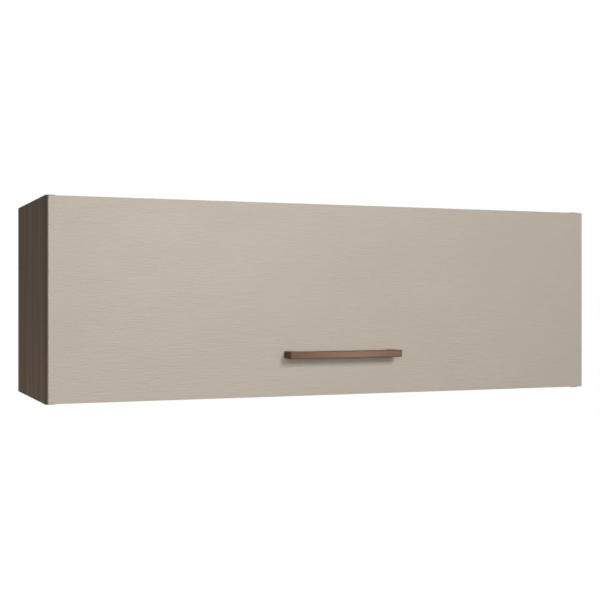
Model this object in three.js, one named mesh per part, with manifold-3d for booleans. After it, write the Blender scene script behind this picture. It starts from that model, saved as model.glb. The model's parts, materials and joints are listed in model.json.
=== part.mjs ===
// Lift-up wall cabinet: a flat-pack board carcass, one wide flap door hung on three concealed
// cup hinges, two gas struts that hold the flap up, and a square bar handle.
//
// Units are millimetres. The origin is the middle of the face that lies on the wall.
// +X runs to the right, +Y into the wall and +Z up, so the door faces -Y.
import * as THREE from "three";
import { mergeVertices } from "three/addons/utils/BufferGeometryUtils.js";
import Module from "manifold-3d";

const wasm = await Module();
wasm.setup();

// ---------------------------------------------------------------- driving dimensions
const cabinetWidth = 1000;
const cabinetHeight = 331;
const sideDepth = 291; // side panel, from the back panel to its front edge
const boardThickness = 15;
const endInset = 2; // top and bottom panels lie this far inside the side panels' ends
const backThickness = 3;
const backInset = 2; // back panel is cut this much smaller than the carcass
const railHeight = 70;
const wallHoleRadius = 4;
const fit = 0.3; // clearance of a piece in its seat

const doorThickness = 15;
const doorGap = 1.5; // between the door's back and the carcass
const doorSideReveal = 1.5;
const doorEndReveal = 2.1;
const doorChamfer = 0.5;

const handleHoleSpacing = 192;
const handleLegWidth = 15;
const handleHeight = 12;
const handleProjection = 31;
const handleBarDepth = 9;
const handleAboveDoorBottom = 70.6;
const handleChamfer = 0.6;
const handleScrewRadius = 2;
const handleScrewReach = 10; // into the handle's leg
const handleScrewRoom = 0.5; // between the screw and its hole in the door
const screwHeadRadius = 4;
const screwHeadHeight = 2.6;
const screwHeadRim = 1;
const screwHeadCrown = 2.4; // radius of the head's flat top

const hingeFromDoorEnd = 100;
const cupRadius = 17.2;
const cupDepth = 11.5;
const cupWall = 1;
const cupCorner = 1.5; // bevel round the cup's floor
const cupSides = 24;
const cupFromDoorEdge = 3;
const cupFlangeThickness = 1.1;
const cupFlangeRim = 2.3; // how far the flange reaches round the cup
const cupFlangeTop = 4.2; // the flange stops this far below the door's top edge
const cupScrewSpacing = 48;
const cupScrewOffset = 9.5; // from the cup's middle, away from the door's edge
const cupWingRadius = 6;
const hingeScrewRadius = 2.2;
const armWidth = 15;
const armThickness = 1.2;
const armLength = 62;
const armDepth = 9.8;
const armLobeRadius = 3;
const armNeckLength = 9; // over which the arm's foot slopes down to its nose
const armMouthLength = 10; // the arm is open below for this far behind the front edges
const armScrewRadius = 2.5;
const armScrewFromFront = 20;
const armScrewSpacing = 26;
const plateThickness = 2;
const plateScrewFromFront = 37;
const plateScrewSpacing = 32;
const plateWingRadius = 6;
const plateBodyWidth = 18;
const plateBodyLength = 36;
const linkPinRadius = 1.2;
const linkKnuckleRadius = 1.8;
const linkElbow = 6; // from the cup pin to the bend in the inner link
const innerLinkWidth = 6;
const outerLinkGap = 7.2; // between the outer link's two plates
const linkPlate = 1.6;
const earThickness = 1.6;
const earRadius = 2.4;
const rivetHeadRadius = 2.3;
const rivetHeadHeight = 0.6;

const strutFromSide = 16; // strut's axis to the side panel's inner face
const strutTubeRadius = 7.5;
const strutTubeWall = 1.2;
const strutTubeLength = 173;
const strutTubeNose = 1.5; // bevel at the rod's end
const strutGuideLength = 5;
const strutFloor = 3; // thickness of the tube's closed end
const strutRodRadius = 3;
const strutPistonLength = 8;
const strutPistonFromEnd = 58; // piston to the tube's closed end, with the door shut
const strutRodShowing = 9; // with the door shut
const strutHeadBehindFront = 14.5; // ball on the door, from the carcass's front edges
const strutHeadBelowDoorTop = 48;
const strutFootBelowHead = 102;
const socketRadius = 7;
const socketLength = 12.4;
const socketNeckRadius = 4;
const socketReach = 14.5; // from the ball's middle to the end of the socket's neck
const socketBevel = 0.8;
const socketCollarRadius = 5.8;
const socketCollarLength = 3;
const socketEntryRadius = 4.2;
const ballRadius = 5;
const studNeckRadius = 3;
const studBaseRadius = 5.5;
const studBaseHeight = 1.5;
const studReach = 11; // from the ball on the door to the stud's foot
const bracketThickness = 2;
const bracketWidth = 20;
const bracketHeight = 44;
const bracketScrewSpacing = 30;
const doorPlateReach = 24;
const doorPlateScrew = 14; // from the ear to the screws' line
const doorPlateScrewSpacing = 16;
const doorEarRadius = 8;
const doorEarFoot = 28; // the ear's height where it meets the door
const openPivotGap = 0.35; // at the pivot where the strut's loop is open

const camRadius = 7.2;
const camDepth = 12.2;
const camFromEnd = 34;
const camSlotWidth = 2;
const camSlotLength = 10;
const camSlotDepth = 2.2;
const camHookRadius = 4;
const camHookDepth = 4; // the bolt's pocket reaches this far past the cam's middle
const boltFromEdge = 50; // cam bolts from the carcass's front and back edges
const boltShankRadius = 3;
const boltNeckRadius = 1.8;
const boltHeadRadius = 3.2;
const boltThreadLength = 11;
const boltCollarRadius = 3.6;
const boltCollarLength = 2;
const boltBoreRadius = 4;

const wallBracketLeg = 30;
const wallBracketHeight = 40;
const wallBracketThickness = 2;
const wallBracketBelowTop = 12;
const wallBracketHole = 18; // holes from the angle's corner
const wallBracketScrewSpacing = 20;
const bumperRadius = 4.5;
const bumperHeight = 1.2;
const bumperRim = 0.8;
const bumperCrown = 2.4; // radius of the bumper's flat top
const bumperFromDoorEnd = 20;

// ---------------------------------------------------------------- places that follow
const halfWidth = cabinetWidth / 2;
const innerX = halfWidth - boardThickness;
const topZ = cabinetHeight / 2;
const panelTop = topZ - endInset; // upper face of the top panel
const ceiling = panelTop - boardThickness; // its underside
const frontY = -(backThickness + sideDepth); // front edges of the carcass
const doorBack = frontY - doorGap;
const doorFront = doorBack - doorThickness;
const doorHalfWidth = halfWidth - doorSideReveal;
const doorTop = topZ - doorEndReveal;
const handleZ = -doorTop + handleAboveDoorBottom;

// The mechanism is drawn on a side view: u runs forward from the carcass's front edges and
// v upward from the door's top edge.
const at = (u, v) => new THREE.Vector2(u, v);
const toY = (u) => frontY - u;
const toZ = (v) => doorTop + v;
const ceilingV = ceiling - doorTop;
const degree = Math.PI / 180;
const polar = (from, length, angle) =>
  at(from.x + length * Math.cos(angle * degree), from.y + length * Math.sin(angle * degree));
const angleOf = (from, to) => Math.atan2(to.y - from.y, to.x - from.x) / degree;

// The door turns about one fixed line. Its depth in the door and the clearance that the
// door's top back corner keeps to the carcass as it swings give its height.
const doorOpening = 90;
const cornerClearance = 0.3;
const axisForward = 10;
const axisBelow = Math.sqrt((axisForward - cornerClearance) ** 2 - (axisForward - doorGap) ** 2);
const doorAxis = at(axisForward, -axisBelow);
const opened = (place) => place.clone().rotateAround(doorAxis, doorOpening * degree);

// A hinge link joins a pin in the cup to one on the arm. The pin on the arm lies on the line
// that halves the cup pin's swing, so the link spans both when the door is shut and open.
function linkPivots(armAngle, cupPinRadius, armPinRadius) {
  const cup = polar(doorAxis, cupPinRadius, armAngle - doorOpening / 2);
  const arm = polar(doorAxis, armPinRadius, armAngle);
  const swing = angleOf(opened(cup), arm) - angleOf(cup, arm);
  return { cup, arm, swing };
}
const innerPivots = linkPivots(-115, 5.8, 18.5);
const outerPivots = linkPivots(-97, 9.5, 24.5);

// Gas strut: one ball on the side panel, the other on the door.
const strutShut = 2 * (socketReach + fit) + strutTubeLength + strutRodShowing;
const strutHead = at(-strutHeadBehindFront, -strutHeadBelowDoorTop);
const strutFoot = at(
  strutHead.x - Math.sqrt(strutShut ** 2 - strutFootBelowHead ** 2),
  strutHead.y - strutFootBelowHead,
);
const strutOpen = strutFoot.distanceTo(opened(strutHead));
const strutAngle = angleOf(strutFoot, strutHead);
const strutSwing = angleOf(strutFoot, opened(strutHead)) - strutAngle;

// ---------------------------------------------------------------- materials
const finish = (color, roughness, metalness = 0) =>
  new THREE.MeshStandardMaterial({ color, roughness, metalness });
const brownLaminate = () => finish(0x524639, 0.6);
const beigeLaminate = () => finish(0xb9b0a2, 0.55);
const backBoard = () => finish(0x5a4d42, 0.75);
const copperSatin = () => finish(0x8a6e5e, 0.4, 0.9);
const nickelSteel = () => finish(0xb8b8b4, 0.35, 0.95);
const zincAlloy = () => finish(0x9a9c9c, 0.5, 0.9);
const blackPaint = () => finish(0x1c1c1d, 0.4, 0.3);
const blackPlastic = () => finish(0x202021, 0.5);
const chromeSteel = () => finish(0xd6d8da, 0.15, 1);
const clearSilicone = () => finish(0xd8d8d2, 0.3);

// ---------------------------------------------------------------- solids
function solid(geometry) {
  const bare = geometry.index ? geometry.toNonIndexed() : geometry.clone();
  bare.deleteAttribute("normal");
  bare.deleteAttribute("uv");
  const merged = mergeVertices(bare, 1e-4);
  const made = new wasm.Manifold(
    new wasm.Mesh({
      numProp: 3,
      vertProperties: new Float32Array(merged.attributes.position.array),
      triVerts: new Uint32Array(merged.index.array),
    }),
  );
  return made;
}
const join = (first, ...others) => others.reduce((sum, next) => sum.add(next), first);
const cut = (first, ...others) => others.reduce((rest, next) => rest.subtract(next), first);

function block([x0, x1], [y0, y1], [z0, z1]) {
  const box = new THREE.BoxGeometry(Math.abs(x1 - x0), Math.abs(y1 - y0), Math.abs(z1 - z0));
  return solid(box.translate((x0 + x1) / 2, (y0 + y1) / 2, (z0 + z1) / 2));
}

const point = (x, y, z) => new THREE.Vector3(x, y, z);
const alongX = point(1, 0, 0);
const alongY = point(0, 1, 0);
const alongZ = point(0, 0, 1);
const forward = point(0, -1, 0);
const down = point(0, 0, -1);
const sideways = (sx) => point(sx, 0, 0);
const over = 1; // how far a cutter runs past the face that it cuts

// A turned solid: the profile's points are (radius, distance along the axis) from the origin.
function turned(profile, origin, direction, sides = 16) {
  const points = profile.map(([r, along]) => new THREE.Vector2(r, along));
  const place = new THREE.Matrix4()
    .makeRotationFromQuaternion(
      new THREE.Quaternion().setFromUnitVectors(alongY, direction.clone().normalize()),
    )
    .setPosition(origin);
  return solid(new THREE.LatheGeometry(points, sides).applyMatrix4(place));
}
const bar = (radius, origin, direction, length, sides = 10) =>
  turned([[0, 0], [radius, 0], [radius, length], [0, length]], origin, direction, sides);

const pinX = (radius, place, x0, x1, sides = 8) =>
  bar(radius, point(x0, toY(place.x), toZ(place.y)), alongX, x1 - x0, sides);

// A plate cut to an outline on the side view, from x0 to x1.
function sidePlate(shape, x0, x1) {
  const place = new THREE.Matrix4()
    .makeBasis(alongY.clone().negate(), alongZ, alongX.clone().negate())
    .setPosition(x1, toY(0), toZ(0));
  const plate = new THREE.ExtrudeGeometry(shape, {
    depth: x1 - x0,
    bevelEnabled: false,
    curveSegments: 3,
  });
  return solid(plate.applyMatrix4(place));
}

// A plate cut to an outline seen from behind the door or from below, in (x, other) order.
function facePlate(shape, place, depth, bevel = 0) {
  const plate = new THREE.ExtrudeGeometry(shape, {
    depth: depth - 2 * bevel,
    bevelEnabled: bevel > 0,
    bevelThickness: bevel,
    bevelSize: bevel,
    bevelOffset: -bevel,
    bevelSegments: 1,
    curveSegments: 3,
  });
  return solid(plate.translate(0, 0, bevel).applyMatrix4(place));
}
// x stays, the outline's y becomes Z, and the plate grows towards -Y from the given y.
const standing = (x, y, z) =>
  new THREE.Matrix4()
    .makeBasis(alongX, alongZ, alongY.clone().negate())
    .setPosition(x, y, z);
// x stays, the outline's y becomes Y, and the plate grows up from the given z.
const lying = (x, y, z) =>
  new THREE.Matrix4().makeBasis(alongX, alongY, alongZ).setPosition(x, y, z);

function rectangle(width, height) {
  const shape = new THREE.Shape();
  shape.moveTo(-width / 2, -height / 2);
  shape.lineTo(width / 2, -height / 2);
  shape.lineTo(width / 2, height / 2);
  shape.lineTo(-width / 2, height / 2);
  shape.closePath();
  return shape;
}

// A bar with round ends between two points, as an outline.
function roundBar(from, to, radius) {
  const angle = Math.atan2(to.y - from.y, to.x - from.x);
  const shape = new THREE.Shape();
  shape.absarc(to.x, to.y, radius, angle - Math.PI / 2, angle + Math.PI / 2, false);
  shape.absarc(from.x, from.y, radius, angle + Math.PI / 2, angle + 1.5 * Math.PI, false);
  shape.closePath();
  return shape;
}

// ---------------------------------------------------------------- the assembly
const cabinet = new THREE.Group();
function piece(name, made, material) {
  const found = made.getMesh();
  const geometry = new THREE.BufferGeometry();
  geometry.setAttribute("position", new THREE.BufferAttribute(found.vertProperties, found.numProp));
  geometry.setIndex(new THREE.BufferAttribute(found.triVerts, 1));
  geometry.computeVertexNormals();
  const mesh = new THREE.Mesh(geometry, material);
  mesh.name = name;
  cabinet.add(mesh);
}
const sides = [["left", -1], ["right", 1]];
const levels = [["top", 1], ["bottom", -1]];
const edges = [["front", frontY + boltFromEdge], ["rear", -backThickness - boltFromEdge]];
const panelMiddle = panelTop - boardThickness / 2;

// Cam fittings: a bolt screwed into the side panel reaches along a bore in the end of the
// top or bottom panel, and a cam in that panel draws its head in.
const camPlaces = [];
for (const [side, sx] of sides)
  for (const [level, sz] of levels)
    for (const [edge, y] of edges)
      camPlaces.push({ name: `${level}_${side}_${edge}`, sx, sz, level, y, z: sz * panelMiddle });

function sidePanel(sx) {
  const board = block([sx * innerX, sx * halfWidth], [frontY, -backThickness], [-topZ, topZ]);
  const boltHoles = camPlaces
    .filter((place) => place.sx === sx)
    .map(({ y, z }) =>
      bar(boltShankRadius, point(sx * (innerX - over), y, z), sideways(sx),
        boltThreadLength + fit + over, 8),
    );
  return cut(board, ...boltHoles);
}

// The cams are let in from above in both panels: on top of the cabinet and inside it.
const upperFace = (sz) => (sz > 0 ? panelTop : -ceiling);

function deckPanel(level, sz) {
  const board = block([-innerX, innerX], [frontY, -backThickness], [sz * ceiling, sz * panelTop]);
  const bores = camPlaces.filter((place) => place.level === level).flatMap(({ sx, y, z }) => [
    bar(boltBoreRadius, point(sx * (innerX + over), y, z), sideways(-sx), camFromEnd + over, 8),
    bar(camRadius + fit, point(sx * (innerX - camFromEnd), y, upperFace(sz) + over), down,
      camDepth + fit + over, 12),
  ]);
  return cut(board, ...bores);
}

function cam({ sx, sz, y, z }) {
  const x = sx * (innerX - camFromEnd);
  const face = upperFace(sz);
  const body = bar(camRadius, point(x, y, face), down, camDepth, 12);
  const hook = bar(camHookRadius, point(x - sx * camHookDepth, y, z), sideways(sx),
    camHookDepth + camRadius + over, 8);
  const depths = [face - camSlotDepth, face + over];
  const [half, long] = [camSlotWidth / 2, camSlotLength / 2];
  const slots = [
    block([x - long, x + long], [y - half, y + half], depths),
    block([x - half, x + half], [y - long, y + long], depths),
  ];
  return cut(body, hook, ...slots);
}

// From the thread's tip in the side panel to the round head in the cam.
function camBolt({ sx, y, z }) {
  const shank = boltShankRadius - fit;
  const taper = 2;
  const headAt = camFromEnd - taper;
  const profile = [
    [0, -boltThreadLength], [boltNeckRadius, -boltThreadLength],
    [shank, taper - boltThreadLength], [shank, 0],
    [boltCollarRadius, 0], [boltCollarRadius, boltCollarLength],
    [boltNeckRadius, boltCollarLength + taper], [boltNeckRadius, headAt - taper],
    [boltHeadRadius, headAt - taper / 4], [0, headAt + taper],
  ];
  return turned(profile, point(sx * innerX, y, z), sideways(-sx), 8);
}

// ---- carcass
for (const [side, sx] of sides) piece(`${side}_side_panel`, sidePanel(sx), brownLaminate());
for (const [level, sz] of levels) piece(`${level}_panel`, deckPanel(level, sz), brownLaminate());
for (const place of camPlaces) {
  piece(`cam_${place.name}`, cam(place), zincAlloy());
  piece(`cam_bolt_${place.name}`, camBolt(place), nickelSteel());
}

// Back panel, rail and the two steel angles that the wall screws go through.
const railFront = -backThickness - boardThickness;
const angleTop = ceiling - wallBracketBelowTop;
const wallScrewZ = angleTop - wallBracketHeight / 2;
const wallScrewX = innerX - wallBracketHole;
const wallHoles = sides.map(([, sx]) =>
  bar(wallHoleRadius, point(sx * wallScrewX, over, wallScrewZ), forward,
    over + backThickness + boardThickness + over),
);
piece("back_panel",
  cut(block([backInset - halfWidth, halfWidth - backInset], [-backThickness, 0],
    [backInset - topZ, topZ - backInset]), ...wallHoles),
  backBoard());
piece("hanging_rail",
  cut(block([-innerX, innerX], [railFront, -backThickness], [ceiling - railHeight, ceiling]),
    ...wallHoles),
  brownLaminate());

function wallBracket(sx) {
  const zs = [angleTop - wallBracketHeight, angleTop];
  const onRail = block([sx * (innerX - wallBracketLeg), sx * innerX],
    [railFront - wallBracketThickness, railFront], zs);
  const onSide = block([sx * (innerX - wallBracketThickness), sx * innerX],
    [railFront - wallBracketLeg, railFront], zs);
  const through = wallBracketThickness + 2 * over;
  const wallScrew = bar(wallHoleRadius, point(sx * wallScrewX, railFront + over, wallScrewZ), forward,
    through);
  const sideScrews = [-1, 1].map((s) =>
    bar(hingeScrewRadius, point(sx * (innerX + over), railFront - wallBracketHole,
      wallScrewZ + (s * wallBracketScrewSpacing) / 2), sideways(-sx), through),
  );
  return cut(join(onRail, onSide), wallScrew, ...sideScrews);
}
for (const [side, sx] of sides) piece(`wall_bracket_${side}`, wallBracket(sx), nickelSteel());

// ---- door
const hingeXs = [-(doorHalfWidth - hingeFromDoorEnd), 0, doorHalfWidth - hingeFromDoorEnd];
const hingeNames = ["left", "middle", "right"];
const cupV = -(cupFromDoorEdge + cupRadius + fit);
const handleScrewXs = [-handleHoleSpacing / 2, handleHoleSpacing / 2];

function liftDoor() {
  const board = facePlate(rectangle(2 * doorHalfWidth, 2 * doorTop), standing(0, doorBack, 0),
    doorThickness, doorChamfer);
  const cupBores = hingeXs.map((x) =>
    bar(cupRadius + fit, point(x, doorBack + over, toZ(cupV)), forward, cupDepth + fit + over, cupSides),
  );
  const screwHoles = handleScrewXs.map((x) =>
    bar(handleScrewRadius + handleScrewRoom, point(x, doorBack + over, handleZ), forward,
      doorThickness + 2 * over),
  );
  return cut(board, ...cupBores, ...screwHoles);
}
piece("lift_door", liftDoor(), beigeLaminate());

function barHandle() {
  const half = (handleHoleSpacing + handleLegWidth) / 2;
  const inner = half - handleLegWidth;
  const back = handleProjection - handleBarDepth;
  const outline = new THREE.Shape();
  outline.moveTo(-half, 0);
  outline.lineTo(-inner, 0);
  outline.lineTo(-inner, back);
  outline.lineTo(inner, back);
  outline.lineTo(inner, 0);
  outline.lineTo(half, 0);
  outline.lineTo(half, handleProjection);
  outline.lineTo(-half, handleProjection);
  outline.closePath();
  const place = new THREE.Matrix4()
    .makeBasis(alongX, alongY.clone().negate(), alongZ.clone().negate())
    .setPosition(0, doorFront, handleZ + handleHeight / 2);
  const body = facePlate(outline, place, handleHeight, handleChamfer);
  const bores = handleScrewXs.map((x) =>
    bar(handleScrewRadius + fit, point(x, doorFront + over, handleZ), forward,
      handleScrewReach + fit + over),
  );
  return cut(body, ...bores);
}
piece("bar_handle", barHandle(), copperSatin());

function handleScrew(x) {
  const head = turned(
    [[0, 0], [screwHeadRadius, 0], [screwHeadRadius, screwHeadRim], [screwHeadCrown, screwHeadHeight],
      [0, screwHeadHeight]], point(x, doorBack, handleZ), alongY);
  const shank = bar(handleScrewRadius, point(x, doorBack + screwHeadRim / 2, handleZ), forward,
    screwHeadRim / 2 + doorThickness + handleScrewReach);
  return join(head, shank);
}
sides.forEach(([side], i) =>
  piece(`handle_screw_${side}`, handleScrew(handleScrewXs[i]), nickelSteel()),
);

// The bumpers lie on the door's back, in front of the side panels' edges.
for (const [side, sx] of sides)
  piece(`door_bumper_${side}`,
    turned([[0, 0], [bumperRadius, 0], [bumperRadius, bumperRim], [bumperCrown, bumperHeight],
      [0, bumperHeight]],
    point(sx * (halfWidth - boardThickness / 2), doorBack, bumperFromDoorEnd - doorTop), alongY, 20),
    clearSilicone());

// ---- concealed hinges
const armTopV = ceilingV - plateThickness - fit;
const armBottomV = armTopV - armDepth;
const earInside = outerLinkGap / 2 + linkPlate + fit;
const cupPinHalf = earInside + earThickness;
const armPinHalf = armWidth / 2 - armThickness - fit;

function hingeCup(x) {
  const origin = point(x, doorBack, toZ(cupV));
  const bore = cupRadius - cupWall;
  const shell = turned(
    [[0, -cupDepth], [cupRadius - cupCorner, -cupDepth], [cupRadius, cupCorner - cupDepth],
      [cupRadius, 0], [bore, 0], [bore, cupWall - cupDepth], [0, cupWall - cupDepth]],
    origin, alongY, cupSides);

  // The flange is a ring with a wing for a screw on each side, cut straight near the door's edge.
  const ring = bar(cupRadius + cupFlangeRim, origin, alongY, cupFlangeThickness, cupSides);
  const reach = cupScrewSpacing / 2;
  const wings = facePlate(
    roundBar(at(-reach, -cupScrewOffset), at(reach, -cupScrewOffset), cupWingRadius),
    standing(x, doorBack + cupFlangeThickness, toZ(cupV)), cupFlangeThickness);
  const through = cupFlangeThickness + 2 * over;
  const back = doorBack - over;
  const flange = cut(
    join(ring, wings),
    bar(bore, point(x, back, toZ(cupV)), alongY, through, cupSides),
    block([x - cupScrewSpacing, x + cupScrewSpacing], [back, back + through],
      [toZ(-cupFlangeTop), toZ(cupRadius)]),
    ...[-1, 1].map((s) =>
      bar(hingeScrewRadius, point(x + s * reach, back, toZ(cupV - cupScrewOffset)), alongY, through)),
  );

  // An ear on each side of the links stands on the cup's floor and holds both pins.
  const { cup: inner } = innerPivots;
  const { cup: outer } = outerPivots;
  const deep = doorGap + cupDepth - cupWall / 2;
  const lean = angleOf(inner, outer) * degree;
  const outline = new THREE.Shape();
  outline.moveTo(deep, inner.y + earRadius);
  outline.absarc(inner.x, inner.y, earRadius, 0.5 * Math.PI, lean + 1.5 * Math.PI, false);
  outline.absarc(outer.x, outer.y, earRadius, lean + 1.5 * Math.PI, 1.5 * Math.PI, false);
  outline.lineTo(deep, outer.y - earRadius);
  outline.closePath();
  const within = bar(bore + cupWall / 2, point(x, doorBack - cupDepth, toZ(cupV)), alongY,
    cupDepth + cupFlangeThickness, cupSides);
  const ears = [earInside, -earInside - earThickness].map((from) =>
    sidePlate(outline, x + from, x + from + earThickness).intersect(within));
  const pinHoles = [inner, outer].map((pin) =>
    pinX(linkPinRadius + fit, pin, x - cupPinHalf - over, x + cupPinHalf + over));
  return cut(join(shell, flange, ...ears), ...pinHoles);
}

// The arm is a pressed channel, open above, with a nose that reaches down into the cup.
function hingeArm(x) {
  const { arm: upper } = innerPivots;
  const { arm: lower } = outerPivots;
  const half = armWidth / 2;
  const heel = 2;
  const noseV = lower.y - armLobeRadius;
  const outline = new THREE.Shape();
  outline.moveTo(-armLength, armTopV);
  outline.absarc(heel - armLength, armBottomV + heel, heel, Math.PI, 1.5 * Math.PI, false);
  outline.lineTo(-armNeckLength, armBottomV);
  outline.bezierCurveTo(-armNeckLength / 2, armBottomV, lower.x - armLobeRadius, noseV, lower.x, noseV);
  outline.absarc(lower.x, lower.y, armLobeRadius, -0.5 * Math.PI, 0.1 * Math.PI, false);
  outline.absarc(upper.x, upper.y, armLobeRadius, 0, 0.6 * Math.PI, false);
  outline.lineTo(-heel, armTopV);
  outline.closePath();
  const body = sidePlate(outline, x - half, x + half);

  const insideXs = [x - half + armThickness, x + half - armThickness];
  const [ahead, above, below] = [toY(armLength), toZ(armTopV + over), toZ(noseV - over)];
  const channel = block(insideXs, [ahead, toY(-armLength - over)],
    [toZ(armBottomV + armThickness), above]);
  const mouth = block(insideXs, [ahead, toY(-armMouthLength)], [below, above]);
  const coreXs = [x - half + armThickness / 2, x + half - armThickness / 2];
  const core = block(coreXs, [ahead, toY(-armLength)], [below, above]);
  const rivets = [upper, lower].map((pin) =>
    cut(pinX(rivetHeadRadius, pin, x - half - rivetHeadHeight, x + half + rivetHeadHeight), core));
  const screwHoles = [armScrewFromFront, armScrewFromFront + armScrewSpacing].map((back) =>
    bar(armScrewRadius, point(x, toY(-back), toZ(armBottomV) - over), alongZ, armThickness + 2 * over));
  return join(cut(body, channel, mouth, ...screwHoles), ...rivets);
}

function hingePlate(x) {
  const y = toY(-plateScrewFromFront);
  const wingReach = plateScrewSpacing / 2;
  const place = lying(x, y, ceiling - plateThickness);
  const wings = facePlate(roundBar(at(-wingReach, 0), at(wingReach, 0), plateWingRadius), place,
    plateThickness);
  const body = facePlate(rectangle(plateBodyWidth, plateBodyLength), place, plateThickness);
  const ridgeMargin = 2;
  const ridgeHalf = armPinHalf;
  const ridgeReach = plateBodyLength / 2 - ridgeMargin;
  const ridge = block([x - ridgeHalf, x + ridgeHalf], [y - ridgeReach, y + ridgeReach],
    [toZ(armBottomV + armThickness + fit), ceiling - plateThickness / 2]);
  const holes = [-1, 1].map((s) =>
    bar(hingeScrewRadius, point(x + s * wingReach, y, ceiling - plateThickness - over), alongZ,
      plateThickness + 2 * over),
  );
  return cut(join(wings, body, ridge), ...holes);
}

// Both links are drawn with the door shut. Their pins in the cup pass through its ears, and
// their pins on the arm end just short of the arm's cheeks.
function innerLink(x) {
  const { cup, arm, swing } = innerPivots;
  const half = innerLinkWidth / 2;
  const elbow = polar(cup, linkElbow, -90 - swing);
  const web = linkPinRadius - fit / 2;
  return join(
    sidePlate(roundBar(cup, elbow, web), x - half, x + half),
    sidePlate(roundBar(elbow, arm, web), x - half, x + half),
    pinX(linkKnuckleRadius, cup, x - half, x + half),
    pinX(linkKnuckleRadius, arm, x - half, x + half),
    pinX(linkPinRadius, cup, x - cupPinHalf, x + cupPinHalf),
    pinX(linkPinRadius, arm, x - armPinHalf, x + armPinHalf),
  );
}

function outerLink(x) {
  const { cup, arm } = outerPivots;
  const inside = outerLinkGap / 2;
  const web = linkPinRadius;
  const plates = [-1, 1].flatMap((s) => {
    const near = Math.min(s * inside, s * (inside + linkPlate));
    const [x0, x1] = [x + near, x + near + linkPlate];
    const [p0, p1] = s > 0 ? [x0, x + cupPinHalf] : [x - cupPinHalf, x1];
    return [
      sidePlate(roundBar(cup, arm, web), x0, x1),
      pinX(linkKnuckleRadius, cup, x0, x1),
      pinX(linkPinRadius, cup, p0, p1),
    ];
  });
  return join(
    ...plates,
    pinX(linkKnuckleRadius, arm, x - inside - linkPlate, x + inside + linkPlate),
    pinX(linkPinRadius, arm, x - armPinHalf, x + armPinHalf),
  );
}

hingeNames.forEach((name, i) => {
  piece(`hinge_cup_${name}`, hingeCup(hingeXs[i]), nickelSteel());
  piece(`hinge_arm_${name}`, hingeArm(hingeXs[i]), nickelSteel());
  piece(`hinge_plate_${name}`, hingePlate(hingeXs[i]), nickelSteel());
  piece(`hinge_inner_link_${name}`, innerLink(hingeXs[i]), nickelSteel());
  piece(`hinge_outer_link_${name}`, outerLink(hingeXs[i]), nickelSteel());
});

// ---- gas struts
const strutX = innerX - strutFromSide;
const strutDirection = point(0, -Math.cos(strutAngle * degree), Math.sin(strutAngle * degree));
const strutPoint = (sx, along) =>
  point(sx * strutX, toY(strutFoot.x), toZ(strutFoot.y)).addScaledVector(strutDirection, along);
const tubeStart = socketReach + fit;
const tubeEnd = tubeStart + strutTubeLength;
const strutSides = 16;
const socketSides = 12;

const ballProfile = (radius, from, to, neck) => {
  const points = [[0, from]];
  const steps = 5;
  for (let i = 1; i < steps; i++) {
    const turn = (Math.PI * i) / steps;
    const along = -radius * Math.cos(turn);
    if (radius * Math.sin(turn) < neck && along > 0) break;
    points.push([radius * Math.sin(turn), along]);
  }
  points.push([neck, radius * Math.cos(Math.asin(neck / radius)) + 0.01], [neck, to], [0, to]);
  return points;
};

// A ball socket on a strut's end: `along` is the ball's place on the strut, `towards` the way
// to the strut's middle, `mouth` the side from which the ball snaps in.
function socket(sx, along, towards, mouth) {
  const middle = strutPoint(sx, along);
  const half = socketLength / 2;
  const rim = socketRadius - socketBevel;
  const head = turned(
    [[0, -half], [rim, -half], [socketRadius, socketBevel - half], [socketRadius, half - socketBevel],
      [rim, half], [0, half]], middle, alongX, socketSides);
  const collar = socketReach - socketCollarLength;
  const neck = turned(
    [[0, 0], [socketNeckRadius, 0], [socketNeckRadius, collar - socketBevel],
      [socketCollarRadius, collar], [socketCollarRadius, socketReach], [0, socketReach]],
    middle, strutDirection.clone().multiplyScalar(towards), socketSides);
  const room = turned(ballProfile(ballRadius + fit, -ballRadius - fit, ballRadius, over), middle,
    alongX, socketSides);
  const entry = bar(socketEntryRadius, middle, sideways(mouth), half + over);
  return cut(join(head, neck), room, entry);
}

function strutTube(sx) {
  const outer = strutTubeRadius;
  const bore = strutTubeRadius - strutTubeWall;
  const gland = strutRodRadius + fit;
  const end = strutTubeLength;
  return turned(
    [[0, 0], [outer - strutTubeWall, 0], [outer, strutTubeWall], [outer, end - strutTubeNose],
      [outer - strutTubeNose, end], [gland, end], [gland, end - strutGuideLength],
      [bore, end - strutGuideLength], [bore, strutFloor], [0, strutFloor]],
    strutPoint(sx, tubeStart), strutDirection, strutSides);
}

function strutRod(sx) {
  const start = tubeStart + strutPistonFromEnd;
  const length = strutShut - socketReach - fit - start;
  const piston = strutTubeRadius - strutTubeWall - fit;
  return turned(
    [[0, 0], [piston, 0], [piston, strutPistonLength], [strutRodRadius, strutPistonLength],
      [strutRodRadius, length], [0, length]],
    strutPoint(sx, start), strutDirection, strutSides);
}

function sideBracket(sx) {
  const [y, z] = [toY(strutFoot.x), toZ(strutFoot.y)];
  const plate = cut(
    block([sx * innerX, sx * (innerX - bracketThickness)], [y - bracketWidth / 2, y + bracketWidth / 2],
      [z - bracketHeight / 2, z + bracketHeight / 2]),
    ...[-1, 1].map((s) =>
      bar(hingeScrewRadius, point(sx * (innerX + over), y, z + (s * bracketScrewSpacing) / 2),
        sideways(-sx), bracketThickness + 2 * over),
    ),
  );
  const stud = turned(
    ballProfile(ballRadius, -ballRadius, strutFromSide - bracketThickness / 2, studNeckRadius),
    strutPoint(sx, 0), sideways(sx), socketSides);
  const shoulder = bar(studBaseRadius, point(sx * (innerX - bracketThickness / 2), y, z),
    sideways(-sx), bracketThickness / 2 + studBaseHeight, socketSides);
  return join(plate, stud, shoulder);
}

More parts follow.
